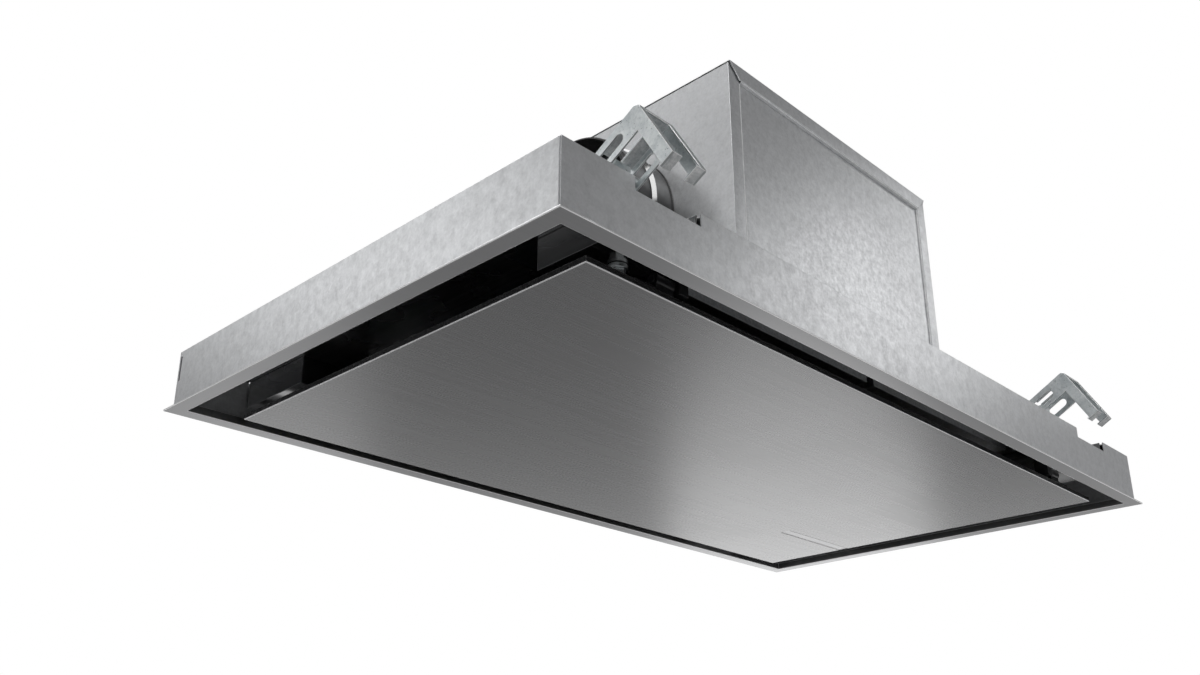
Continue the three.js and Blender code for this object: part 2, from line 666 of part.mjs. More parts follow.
add("inlet_bell", inletBell(), greyPlastic(), [FAN_X, FAN_Y, 0]);
add("scroll_housing", scrollHousing(), galvanised());
add("scroll_top", scrollTop(), galvanised());
add("impeller", impeller(), fanPlastic(), [FAN_X, FAN_Y, 0]);
const fanShaft = bar("z", 4, [IMPELLER_Z[1] - 24, MOTOR_PLATE_Z + 18], [0, 0], 16);
add("fan_shaft", fanShaft, zinc(), [FAN_X, FAN_Y, 0]);
add("motor_plate", motorPlate(), galvanised(), [FAN_X, FAN_Y, 0]);
add("motor", motor(), aluminium(), [FAN_X, FAN_Y, 0]);

// ---- Electrical parts ----
function controlBox() {
  const wall = 2;
  const outside = block(CONTROL_X, CONTROL_Y, CONTROL_Z);
  const inside = block(
    [CONTROL_X[0] + wall, CONTROL_X[1] - wall],
    [CONTROL_Y[0] - 1, CONTROL_Y[1] - wall],
    [CONTROL_Z[0] + wall, CONTROL_Z[1] - wall],
  );
  return cut(outside, inside, bar("y", 6.5, [150, 170], [GLAND_X, GLAND_Z], 20));
}

function controlLid() {
  return block(CONTROL_X, [CONTROL_Y[0] - GAP - 2, CONTROL_Y[0] - GAP], CONTROL_Z);
}

function circuitBoard() {
  const height = [CONTROL_Z[0] + 5, CONTROL_Z[1] - 45];
  const plate = block([CONTROL_X[0] + 5, CONTROL_X[1] - 5], [120, 121.6], height);
  const transformer = block([-140, -112], [121, 145], [172, 200]);
  const relay = block([-104, -86], [121, 137], [176, 192]);
  return join(plate, transformer, relay);
}

function terminalBlock() {
  const body = block([-146, -86], [124, 144], [240, 252]);
  const mouths = Array.from({ length: 3 }, (_, i) => bar("z", 3, [246, 260], [-134 + 18 * i, 134], 12));
  return cut(body, ...mouths);
}

function cableGland() {
  const outerFace = BOX_HALF;
  const thread = bar("y", 6, [CONTROL_Y[1] - 8, outerFace + 4], [0, 0], 20);
  const hexagon = bar("y", 12, [outerFace, outerFace + 6], [0, 0], 6);
  const cap = bar("y", 9.5, [outerFace + 5, outerFace + 14], [0, 0], 20);
  return cut(join(thread, hexagon, cap), bar("y", 4, [CONTROL_Y[1] - 9, outerFace + 20], [0, 0], 16));
}

add("control_box", controlBox(), greyPlastic());
add("control_lid", controlLid(), greyPlastic());
add("circuit_board", circuitBoard(), board());
add("terminal_block", terminalBlock(), greyPlastic());
add("cable_gland", cableGland(), blackPlastic(), [GLAND_X, 0, GLAND_Z]);

export default model;
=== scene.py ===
"""Looks of a ceiling-recessed range hood: sheet-metal finishes, rounded folds, threads, meshes and its stage.

Lengths are metres and +Z is up. The origin is the centre of the trim flange's underside. Each operator finishes
one group of pieces, and main() calls them in order.
"""

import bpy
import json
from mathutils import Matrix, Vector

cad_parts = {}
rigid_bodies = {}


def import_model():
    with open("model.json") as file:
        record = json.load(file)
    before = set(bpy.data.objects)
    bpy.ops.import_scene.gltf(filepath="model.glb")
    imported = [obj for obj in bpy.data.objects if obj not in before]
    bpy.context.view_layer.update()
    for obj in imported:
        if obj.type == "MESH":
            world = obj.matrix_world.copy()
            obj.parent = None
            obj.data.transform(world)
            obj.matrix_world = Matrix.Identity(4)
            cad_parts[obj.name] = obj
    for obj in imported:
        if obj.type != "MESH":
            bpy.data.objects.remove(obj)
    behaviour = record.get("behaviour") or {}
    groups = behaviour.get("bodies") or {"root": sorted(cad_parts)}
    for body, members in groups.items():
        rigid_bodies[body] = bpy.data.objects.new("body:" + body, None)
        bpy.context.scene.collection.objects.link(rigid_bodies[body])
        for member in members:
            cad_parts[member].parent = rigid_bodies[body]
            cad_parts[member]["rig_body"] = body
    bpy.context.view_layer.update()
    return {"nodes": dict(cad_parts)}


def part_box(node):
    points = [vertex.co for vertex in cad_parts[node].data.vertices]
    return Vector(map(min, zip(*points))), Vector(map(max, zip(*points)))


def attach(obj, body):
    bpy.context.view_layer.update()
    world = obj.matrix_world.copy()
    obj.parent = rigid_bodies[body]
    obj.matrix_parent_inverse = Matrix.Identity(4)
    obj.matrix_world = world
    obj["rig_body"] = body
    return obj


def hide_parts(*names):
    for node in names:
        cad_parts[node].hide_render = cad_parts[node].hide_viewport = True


bl_info = {
    "name": "Ceiling Hood Finisher",
    "version": (1, 0, 0),
    "blender": (4, 5, 0),
    "location": "View3D > Sidebar > Hood",
    "description": "Builds the finished surfaces of a ceiling-recessed range hood around its fixed frame",
    "category": "Object",
}

import json
from math import cos, pi, radians, sin

import bmesh
import bpy
from bpy.props import FloatProperty, FloatVectorProperty, IntProperty, PointerProperty
from mathutils import Matrix, Vector

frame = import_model()
NODES = frame["nodes"]

SIDES = (("left", -1), ("right", 1))
CORNERS = (("front_left", -1, -1), ("front_right", 1, -1), ("rear_left", -1, 1), ("rear_right", 1, 1))
MERGE = 1e-6  # vertices closer than this are one
SHEET = 0.0015  # sheet-metal thickness
SHARP = radians(28)  # edges that turn by more than this are rounded
CREASE = radians(34)  # and above this, shading stays sharp
LID_RIM = 0.015  # depth of the lid's folded rim
HEM_HIGHLIGHT = 1.4  # how much lighter the hems are painted than their sheet: a painted highlight along the folds


# ---- Sizes and colours a user would change ----
class HoodSizes(bpy.types.PropertyGroup):
    fold_radius: FloatProperty(
        name="Fold radius", description="Rounding of folded and cut sheet edges", default=0.00055, unit="LENGTH"
    )
    cover_fold: FloatProperty(
        name="Cover fold", description="Bend radius of the cover panel's edges", default=0.0028, unit="LENGTH"
    )
    moulded_radius: FloatProperty(
        name="Moulded radius", description="Rounding of moulded plastic edges", default=0.0008, unit="LENGTH"
    )
    round_steps: IntProperty(
        name="Round steps", description="Steps around each large turned piece", default=96, min=24
    )
    thread_pitch: FloatProperty(
        name="Thread pitch", description="Pitch of the claws' draw screws", default=0.001, unit="LENGTH"
    )
    thread_depth: FloatProperty(
        name="Thread depth", description="Depth of the draw screws' thread", default=0.00055, unit="LENGTH"
    )
    mesh_pitch: FloatProperty(
        name="Mesh pitch", description="Spacing of the grease filters' wires", default=0.0052, unit="LENGTH"
    )
    mesh_wire: FloatProperty(
        name="Mesh wire", description="Radius of one wire of the grease filters", default=0.00042, unit="LENGTH"
    )
    rivet_radius: FloatProperty(
        name="Rivet radius", description="Radius of a blind rivet's head", default=0.0032, unit="LENGTH"
    )


class HoodColours(bpy.types.PropertyGroup):
    galvanised: FloatVectorProperty(
        name="Galvanised sheet",
        description="Tint of the casing and box",
        subtype="COLOR",
        default=(0.66, 0.67, 0.68),
    )
    cover: FloatVectorProperty(
        name="Cover steel",
        description="Tint of the brushed cover",
        subtype="COLOR",
        default=(0.225, 0.225, 0.227),
    )
    trim: FloatVectorProperty(
        name="Trim steel",
        description="Tint of the trim flange",
        subtype="COLOR",
        default=(0.33, 0.33, 0.335),
    )
    shade: FloatVectorProperty(
        name="Inner steel",
        description="Tint of the soffits and back pan",
        subtype="COLOR",
        default=(0.4, 0.4025, 0.41),
    )
    zinc: FloatVectorProperty(
        name="Bright zinc",
        description="Tint of the claws, nuts and screws",
        subtype="COLOR",
        default=(0.86, 0.925, 0.945),
    )
    black: FloatVectorProperty(
        name="Black plastic",
        description="Colour of the collar, wells and hinges",
        subtype="COLOR",
        default=(0.012, 0.012, 0.013),
    )
    grey: FloatVectorProperty(
        name="Grey plastic",
        description="Colour of the filter latches and the control box",
        subtype="COLOR",
        default=(0.16, 0.17, 0.18),
    )
    aluminium: FloatVectorProperty(
        name="Filter aluminium",
        description="Tint of the grease filters",
        subtype="COLOR",
        default=(0.6, 0.61, 0.62),
    )
    board: FloatVectorProperty(
        name="Circuit board",
        description="Colour of the solder mask",
        subtype="COLOR",
        default=(0.02, 0.12, 0.055),
    )


# ---- Materials ----
class Finish:
    """A material being built: its node tree, its shader and the short calls that add to it."""

    def __init__(self, name, roughness, metallic=0.0, coat=0.0):
        self.material = bpy.data.materials.new(name)
        self.material.use_nodes = True
        self.tree = self.material.node_tree
        self.shader = self.tree.nodes["Principled BSDF"]
        self.shader.inputs["Roughness"].default_value = roughness
        self.shader.inputs["Metallic"].default_value = metallic
        self.shader.inputs["Coat Weight"].default_value = coat
        self.coordinates = self.tree.nodes.new("ShaderNodeTexCoord").outputs["Object"]

    def add(self, kind, inputs, **settings):
        node = self.tree.nodes.new(kind)
        for key, value in settings.items():
            setattr(node, key, value)
        for key, value in inputs.items():
            if isinstance(value, bpy.types.NodeSocket):
                self.tree.links.new(value, node.inputs[key])
            else:
                node.inputs[key].default_value = value
        return node

    def place(self, scale=(1, 1, 1), turn=(0, 0, 0)):
        inputs = {"Vector": self.coordinates, "Scale": scale, "Rotation": turn}
        return self.add("ShaderNodeMapping", inputs).outputs[0]

    def cloud(self, scale, detail=4.0, rough=0.55, vector=None, warp=0.0):
        inputs = {
            "Vector": vector or self.coordinates,
            "Scale": scale,
            "Detail": detail,
            "Roughness": rough,
            "Distortion": warp,
        }
        return self.add("ShaderNodeTexNoise", inputs).outputs[0]

    def span(self, value, low, high, to_low, to_high):
        inputs = {"Value": value, "From Min": low, "From Max": high, "To Min": to_low, "To Max": to_high}
        return self.add("ShaderNodeMapRange", inputs).outputs[0]

    def math(self, operation, first, second=0.0, third=0.0):
        return self.add("ShaderNodeMath", {0: first, 1: second, 2: third}, operation=operation).outputs[0]

    def mix(self, factor, first, second):
        return self.add("ShaderNodeMix", {0: factor, 6: first, 7: second}, data_type="RGBA").outputs[2]

    def mark(self, name):
        return self.add("ShaderNodeAttribute", {}, attribute_name=name).outputs["Fac"]

    def relief(self, height, strength, distance):
        bump = self.add("ShaderNodeBump", {"Height": height, "Strength": strength, "Distance": distance})
        self.tree.links.new(bump.outputs[0], self.shader.inputs["Normal"])

    def colour(self, socket):
        self.tree.links.new(socket, self.shader.inputs["Base Color"])

    def roughness(self, socket):
        self.tree.links.new(socket, self.shader.inputs["Roughness"])


def tinted(colour, factor):
    """An RGBA value of a colour made lighter or darker."""
    return (*(min(1.0, channel * factor) for channel in colour), 1.0)


def galvanised(name, tint, gloss=(0.36, 0.3)):
    """Hot-dip galvanised sheet: a fine soft mottle, faint rolling streaks, soft folds and dull cut edges."""
    finish = Finish(name, 0.32, metallic=0.86)
    frost = finish.cloud(430, 4, 0.6)
    patch = finish.cloud(150, 5, 0.6, warp=0.25)
    broad = finish.cloud(9, 3, 0.5)
    tone = finish.math("MULTIPLY_ADD", frost, 0.6, finish.math("MULTIPLY_ADD", broad, 0.3, patch))
    level = finish.span(tone, 0.7, 1.2, 0, 1)
    sheet = finish.mix(level, tinted(tint, 0.85), tinted(tint, 1.12))
    streak = finish.cloud(1, 4, 0.65, finish.place((190, 190, 16)))
    streaked = finish.mix(finish.span(streak, 0.46, 0.72, 0, 0.28), sheet, tinted(tint, 1.13))
    folded = finish.mix(finish.math("MULTIPLY", finish.mark("edge"), 0.25), streaked, tinted(tint, 1.3))
    finish.colour(finish.mix(finish.mark("cut"), folded, tinted(tint, 0.4)))
    finish.roughness(finish.span(tone, 0.7, 1.2, *gloss))
    finish.relief(frost, 0.05, 0.0002)
    return finish.material


def brushed(name, tint, roughness):
    """Stainless sheet brushed along its length: fine lines, faint smears and a few longer hairlines."""
    finish = Finish(name, roughness, metallic=1.0)
    lines = finish.cloud(1, 5, 0.6, finish.place((5, 420, 420)))
    broad = finish.cloud(1, 2, 0.5, finish.place((2, 160, 160)))
    smear = finish.cloud(5, 4, 0.6)
    tone = finish.math("MULTIPLY_ADD", broad, 0.5, lines)
    level = finish.span(tone, 0.45, 1.05, 0, 1)
    sheet = finish.mix(level, tinted(tint, 0.965), tinted(tint, 1.035))
    hazy = finish.mix(finish.span(smear, 0.5, 0.8, 0, 0.2), sheet, tinted(tint, 0.88))
    # The rounded edges are painted 3.6 times lighter: a painted highlight along the folds.
    folded = finish.mix(finish.mark("edge"), hazy, tinted(tint, 3.6))
    finish.colour(finish.mix(finish.mark("cut"), folded, tinted(tint, 1.7)))
    rubbed = finish.math("MULTIPLY_ADD", smear, 0.8, tone)
    finish.roughness(finish.span(rubbed, 0.7, 1.6, roughness * 0.88, roughness * 1.14))
    finish.relief(lines, 0.028, 0.0002)
    return finish.material


def rolled(name, tint):
    """Bright-rolled stainless sheet: glossy, with faint rolling lines and finger-soft haze."""
    finish = Finish(name, 0.2, metallic=1.0)
    lines = finish.cloud(1, 3, 0.6, finish.place((300, 5, 300)))
    haze = finish.cloud(9, 4, 0.6)
    sheet = finish.mix(finish.span(lines, 0.35, 0.65, 0, 1), tinted(tint, 0.88), tinted(tint, 1.12))
    finish.colour(finish.mix(finish.mark("edge"), sheet, tinted(tint, 1.2)))
    finish.roughness(finish.span(haze, 0.3, 0.7, 0.22, 0.34))
    finish.relief(lines, 0.05, 0.0002)
    return finish.material


def bright_zinc(name, tint, grit=0.05, gloss=(0.26, 0.36), tones=(0.72, 1.12)):
    """Bluish bright zinc plating: clouded, with pale worn edges and dark sheared faces."""
    finish = Finish(name, 0.32, metallic=1.0)
    cloud = finish.cloud(48, 5, 0.62, warp=0.6)
    fine = finish.cloud(420, 4, 0.65)
    level = finish.span(finish.math("MULTIPLY_ADD", fine, 0.5, cloud), 0.55, 0.98, 0, 1)
    sheet = finish.mix(level, tinted(tint, tones[0]), tinted(tint, tones[1]))
    stain = finish.span(finish.cloud(19, 3, 0.5), 0.56, 0.72, 0, 0.3)
    stained = finish.mix(stain, sheet, (0.5, 0.52, 0.49, 1.0))
    worn = finish.mix(finish.math("MULTIPLY", finish.mark("edge"), 0.8), stained, tinted(tint, 1.25))
    # On the claws' cheeks the cut mark also carries painted shade along their outward edges.
    finish.colour(finish.mix(finish.math("MULTIPLY", finish.mark("cut"), 0.6), worn, tinted(tint, 0.4)))
    finish.roughness(finish.span(fine, 0.3, 0.7, *gloss))
    finish.relief(finish.math("MULTIPLY_ADD", cloud, 0.4, fine), grit, 0.0004)
    return finish.material


def moulded(name, colour, roughness, coat=0.0, grain=900, gloss=1.5):
    """Moulded plastic: a fine moulding grain, dusty patches and edges rubbed a little lighter."""
    finish = Finish(name, roughness, coat=coat)
    finish.shader.inputs["Coat Roughness"].default_value = 0.12
    finish.shader.inputs["Coat IOR"].default_value = gloss
    texture = finish.cloud(grain, 3, 0.6)
    dust = finish.span(finish.cloud(21, 5, 0.66), 0.45, 0.8, 0, 0.55)
    body = finish.mix(dust, tinted(colour, 1), tinted([channel + 0.012 for channel in colour], 1.15))
    rubbed = finish.math("MULTIPLY", finish.mark("edge"), finish.span(finish.cloud(120), 0.4, 0.7, 0.15, 0.8))
    finish.colour(finish.mix(rubbed, body, tinted([channel * 1.6 + 0.03 for channel in colour], 1)))
    grained = finish.span(texture, 0.3, 0.7, roughness * 0.85, roughness)
    finish.roughness(finish.math("MULTIPLY_ADD", dust, 0.25, grained))
    finish.relief(texture, 0.1, 0.0003)
    return finish.material


def filter_metal(name, tint):
    """Filter aluminium: pale, soft, with a thin golden film of grease in patches."""
    finish = Finish(name, 0.38, metallic=1.0)
    film = finish.span(finish.cloud(14, 5, 0.6), 0.5, 0.75, 0, 0.35)
    fine = finish.cloud(350, 3, 0.6)
    metal = finish.mix(finish.span(fine, 0.35, 0.65, 0, 1), tinted(tint, 0.88), tinted(tint, 1.1))
    coated = finish.mix(film, metal, (tint[0] * 0.86, tint[1] * 0.78, tint[2] * 0.62, 1.0))
    worn = finish.mix(finish.math("MULTIPLY", finish.mark("edge"), 0.6), coated, tinted(tint, 1.3))
    finish.colour(worn)
    finish.roughness(finish.span(film, 0, 0.35, 0.32, 0.5))
    finish.relief(fine, 0.1, 0.0003)
    return finish.material


def filter_depth(name, tint):
    """The inner layers of a filter mesh, as crossed strands painted dimmer than the frame, with the deep gaps
    between them painted near-black as painted shade.
    """
    finish = Finish(name, 0.5, metallic=1.0)
    turned = finish.place((1, 1, 1), (0, 0, radians(30)))
    weave = {"Vector": turned, "Scale": 95.0, "Distortion": 0.6}
    bands = [finish.add("ShaderNodeTexWave", weave, bands_direction=axis).outputs["Fac"] for axis in "XY"]
    strand = finish.math("MAXIMUM", *bands)
    raised = finish.span(strand, 0.72, 0.98, 0, 1)
    # The strands are painted darker than the frame and the gaps near-black: painted shade between the layers.
    finish.colour(finish.mix(raised, (0.012, 0.012, 0.012, 1), tinted(tint, 0.6)))
    finish.roughness(finish.span(strand, 0.6, 1, 0.8, 0.4))
    finish.relief(strand, 0.7, 0.0012)
    return finish.material


def solder_mask(name, colour):
    """A green circuit board with pale tracks under its solder mask."""
    finish = Finish(name, 0.35, coat=0.4)
    tracks = finish.add(
        "ShaderNodeTexBrick",
        {"Vector": finish.coordinates, "Scale": 120.0, "Mortar Size": 0.03, "Color1": tinted(colour, 0.8)},
    )
    tracks.inputs["Color2"].default_value = tinted(colour, 1.0)
    tracks.inputs["Mortar"].default_value = tinted(colour, 2.0)
    finish.colour(tracks.outputs["Color"])
    grime = finish.cloud(60, 4, 0.6)
    finish.roughness(finish.span(grime, 0.3, 0.7, 0.28, 0.45))
    finish.relief(tracks.outputs["Fac"], 0.2, 0.0003)
    return finish.material


MATERIALS = {}  # by the record's slot, with a few variants of a slot's finish for single places


# ---- Mesh helpers ----
def finished(name, bm, body, slot, material=None, replaced=()):
    """Links a finished mesh as a piece that rides on a body."""
    mesh = bpy.data.meshes.new(name)
    bm.to_mesh(mesh)
    bm.free()
    piece = bpy.data.objects.new(name, mesh)
    bpy.context.scene.collection.objects.link(piece)
    mesh.materials.append(MATERIALS[material or slot])
    mesh.shade_smooth()
    mesh.set_sharp_from_angle(angle=CREASE)
    weighted = piece.modifiers.new("Weighted Normal", "WEIGHTED_NORMAL")
    weighted.keep_sharp = True
    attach(piece, body)
    if replaced:
        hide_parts(*replaced)
    return piece


def bevel(bm, edges, radius, segments):
    """Rounds edges and marks the new faces for the finish."""
    edge = bm.faces.layers.float.get("edge") or bm.faces.layers.float.new("edge")
    made = bmesh.ops.bevel(
        bm,
        geom=edges,
        offset=radius,
        offset_type="OFFSET",
        affect="EDGES",
        segments=segments,
        profile=0.5,
        material=-1,
        clamp_overlap=True,
        loop_slide=True,
    )
    for face in made["faces"]:
        face[edge] = 1.0
    bmesh.ops.remove_doubles(bm, verts=bm.verts, dist=MERGE)


def round_edges(bm, radius, segments=2):
    """Rounds every sharp edge."""
    bevel(bm, [e for e in bm.edges if e.is_manifold and e.calc_face_angle(0) > SHARP], radius, segments)


def round_fold(bm, height, radius):
    """Rounds the outer edges that lie at one height, as a pressed sheet's bend."""
    reach = [max(abs(v.co[axis]) for v in bm.verts) - MERGE for axis in range(2)]

    def outside(v):
        return abs(v.co.z - height) < MERGE and (abs(v.co.x) >= reach[0] or abs(v.co.y) >= reach[1])

    bends = [e for e in bm.edges if all(outside(v) for v in e.verts) and e.calc_face_angle(0) > 1]
    bevel(bm, bends, radius, 4)


def mark_cut_edges(bm, thickness=SHEET * 1.1):
    """Marks the long thin faces where the sheet was sheared."""
    cut = bm.faces.layers.float.new("cut")
    edge = bm.faces.layers.float.get("edge")
    for face in bm.faces:
        longest = max(e.calc_length() for e in face.edges)
        thin = face.calc_area() / longest < thickness
        face[cut] = 1.0 if thin and face[edge] < 0.5 and longest > 3 * thickness else 0.0


def copy_of(node):
    """A merged copy of a frame node's mesh, with its flat faces made whole."""
    bm = bmesh.new()
    bm.from_mesh(NODES[node].data)
    bmesh.ops.remove_doubles(bm, verts=bm.verts, dist=MERGE)
    bmesh.ops.dissolve_limit(
        bm, angle_limit=radians(0.5), verts=bm.verts, edges=bm.edges, use_dissolve_boundaries=False
    )
    for layer in list(bm.loops.layers.uv.values()):
        bm.loops.layers.uv.remove(layer)
    return bm


def rounded(node, slot, radius, material=None, segments=2, fold=None):
    """A frame node again, with its edges rounded. A fold is a wider bend's height and radius."""
    bm = copy_of(node)
    if fold:
        round_fold(bm, *fold)
    round_edges(bm, radius, segments)
    mark_cut_edges(bm)
    return finished(f"{node}_finished", bm, NODES[node]["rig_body"], slot, material, [node])


def repainted(node, slot):
    """A frame node whose shape is right, in its finish."""
    materials = NODES[node].data.materials
    materials.clear()
    materials.append(MATERIALS[slot])


def lathe(profile, steps):
    """A closed [radius, height] profile spun about Z."""
    bm = bmesh.new()
    points = [bm.verts.new((r, 0, h)) for r, h in profile]
    lines = [bm.edges.new((points[i - 1], point)) for i, point in enumerate(points)]
    bmesh.ops.spin(
        bm, geom=points + lines, cent=(0, 0, 0), axis=(0, 0, 1), angle=2 * pi, steps=steps, use_merge=True
    )
    bmesh.ops.remove_doubles(bm, verts=bm.verts, dist=MERGE)
    bmesh.ops.recalc_face_normals(bm, faces=bm.faces)
    return bm


def cuboid(low, high):
    """A block between two corners."""
    bm = bmesh.new()
    low, high = Vector(low), Vector(high)
    place = Matrix.Translation((low + high) / 2) @ Matrix.Diagonal((*(high - low), 1))
    bmesh.ops.create_cube(bm, size=1, matrix=place)
    return bm


def set_out(bm, places):
    """One mesh with a copy of bm at each matrix."""
    part = bpy.data.meshes.new("part")
    bm.to_mesh(part)
    bm.free()
    whole = bmesh.new()
    for place in places:
        copy = part.copy()
        copy.transform(place)
        whole.from_mesh(copy)
        bpy.data.meshes.remove(copy)
    bpy.data.meshes.remove(part)
    return whole


def joined(*meshes):
    """Several meshes as one."""
    whole = bmesh.new()
    for bm in meshes:
        part = bpy.data.meshes.new("part")
        bm.to_mesh(part)
        bm.free()
        whole.from_mesh(part)
        bpy.data.meshes.remove(part)
    return whole


def facing(direction, place):
    """Turns +Z towards a direction and moves it to a place."""
    return Matrix.Translation(place) @ Vector(direction).to_track_quat("Z", "Y").to_matrix().to_4x4()


def rivet(radius):
    """A blind rivet's head, with the broken mandrel's dimple."""
    profile = [
        (0, -0.1),
        (1, -0.1),
        (1, 0.06),
        (0.9, 0.2),
        (0.66, 0.33),
        (0.42, 0.37),
        (0.36, 0.34),
        (0.34, 0.16),
        (0, 0.16),
    ]
    return lathe([(r * radius, h * radius) for r, h in profile], 20)


def hex_screw(radius):
    """A hexagon-head sheet-metal screw's head on its own washer."""
    rim = [(0, 0), (1, 0), (1, 0.12), (0.86, 0.24), (0, 0.24)]
    washer = lathe([(r * radius, h * radius) for r, h in rim], 24)
    head = bmesh.new()
    bmesh.ops.create_cone(
        head,
        cap_ends=True,
        segments=6,
        radius1=radius * 0.72,
        radius2=radius * 0.72,
        depth=radius * 0.66,
        matrix=Matrix.Translation((0, 0, radius * 0.55)),
    )
    round_edges(head, radius * 0.06)
    return joined(washer, head)


def threaded_rod(radius, pitch, depth, low, high):
    """A rod whose thread is one turn of a profile spun up a helix, repeated and closed at both ends."""
    steps = 20
    bm = bmesh.new()
    shape = [(radius - depth, 0), (radius - depth, 0.15), (radius, 0.45), (radius, 0.6), (radius - depth, 0.9)]
    points = [bm.verts.new((r, 0, low + h * pitch)) for r, h in shape]
    points.append(bm.verts.new((radius - depth, 0, low + pitch)))
    lines = [bm.edges.new(pair) for pair in zip(points, points[1:])]
    bmesh.ops.spin(
        bm,
        geom=points + lines,
        cent=(0, 0, 0),
        axis=(0, 0, 1),
        dvec=(0, 0, pitch / steps),
        angle=2 * pi,
        steps=steps,
        use_merge=False,
    )
    turns = round((high - low) / pitch) - 1
    whole = set_out(bm, [Matrix.Translation((0, 0, turn * pitch)) for turn in range(turns)])
    bmesh.ops.remove_doubles(whole, verts=whole.verts, dist=MERGE * 5)
    bmesh.ops.holes_fill(whole, edges=[e for e in whole.edges if e.is_boundary], sides=0)
    bmesh.ops.recalc_face_normals(whole, faces=whole.faces)
    return whole


# ---- Operators ----
class HOOD_OT_finishes(bpy.types.Operator):
    """Mix every finish from the colours"""

    bl_idname = "hood.finishes"
    bl_label = "Finishes"

    def execute(self, context):
        colours = context.scene.hood_colours
        # The hems' lighter tint is a painted highlight under the lid's rims and along the wrapped flanges.
        hem_highlight_tint = [channel * HEM_HIGHLIGHT for channel in colours.galvanised]
        MATERIALS.update(
            galvanised=galvanised("galvanised_sheet", colours.galvanised),
            hem=galvanised("hem_painted_highlight", hem_highlight_tint, (0.7, 0.55)),
            cover_steel=brushed("brushed_cover", colours.cover, 0.27),
            trim_steel=brushed("brushed_trim", colours.trim, 0.3),
            dark_steel=rolled("rolled_inner_steel", colours.shade),
            zinc=bright_zinc("bright_zinc", colours.zinc),
            zinc_foot=bright_zinc("rough_zinc", colours.zinc, 0.9, (0.4, 0.6), (0.45, 1.25)),
            black_plastic=moulded("black_plastic", colours.black, 0.32, coat=0.35),
            well_gloss=moulded("glossy_well_plastic", colours.black, 0.15, coat=1.0, grain=400, gloss=3.0),
            black_gloss=moulded("black_gloss_plastic", colours.black, 0.42, coat=0.25, grain=400),
            rubbed_gloss=moulded("rubbed_gloss_plastic", colours.black, 0.2, coat=1.0, grain=400, gloss=2.2),
            grey_plastic=moulded("grey_plastic", colours.grey, 0.5),
            filter_aluminium=filter_metal("filter_aluminium", colours.aluminium),
            filter_depth=filter_depth("filter_inner_layers", colours.aluminium),
            circuit_board=solder_mask("solder_mask", colours.board),
        )
        return {"FINISHED"}


class HOOD_OT_casing(bpy.types.Operator):
    """Finish the trim flange, the casing walls, the roof and the soffits"""

    bl_idname = "hood.casing"
    bl_label = "Casing"

    def execute(self, context):
        radius = context.scene.hood_sizes.fold_radius
        rounded("ceiling_flange", "trim_steel", radius)
        for side in ("front", "rear", "left", "right"):
            rounded(f"casing_wall_{side}", "galvanised", radius)
        for side, _ in SIDES:
            rounded(f"end_baffle_{side}", "dark_steel", radius)
        rounded("roof_plate", "galvanised", radius)
        return {"FINISHED"}


class HOOD_OT_cover(bpy.types.Operator):
    """Finish the cover panel, its back pan, hinges, studs and clips, and fit the plain strip"""

    bl_idname = "hood.cover"
    bl_label = "Cover"

    def execute(self, context):
        sizes = context.scene.hood_sizes
        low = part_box("cover_panel")[0]
        rounded("cover_panel", "cover_steel", sizes.fold_radius, fold=(low.z, sizes.cover_fold))
        self.strip(sizes)
        rounded("cover_back_pan", "dark_steel", sizes.fold_radius)
        for side, _ in SIDES:
            for piece in ("hinge_bracket", "hinge_arm", "catch_stud", "catch_clip"):
                rounded(f"{piece}_{side}", "black_plastic", sizes.moulded_radius)
        return {"FINISHED"}

    def strip(self, sizes):
        """A plain polished strip, sunk in the recess in the cover's underside."""
        low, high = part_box("cover_panel")
        depth = 0.0008
        gap = 0.0006
        shadow_gap = gap * 2.5
        thickness = depth * 0.45
        recess = [v.co for v in NODES["cover_panel"].data.vertices if abs(v.co.z - low.z - depth) < MERGE]
        bm = cuboid(
            (min(p.x for p in recess) + gap, min(p.y for p in recess) + shadow_gap, low.z + depth - thickness),
            (high.x - sizes.cover_fold, max(p.y for p in recess) - gap, low.z + depth),
        )
        finished("cover_strip", bm, NODES["cover_panel"]["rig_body"], "cover_steel", "trim_steel")


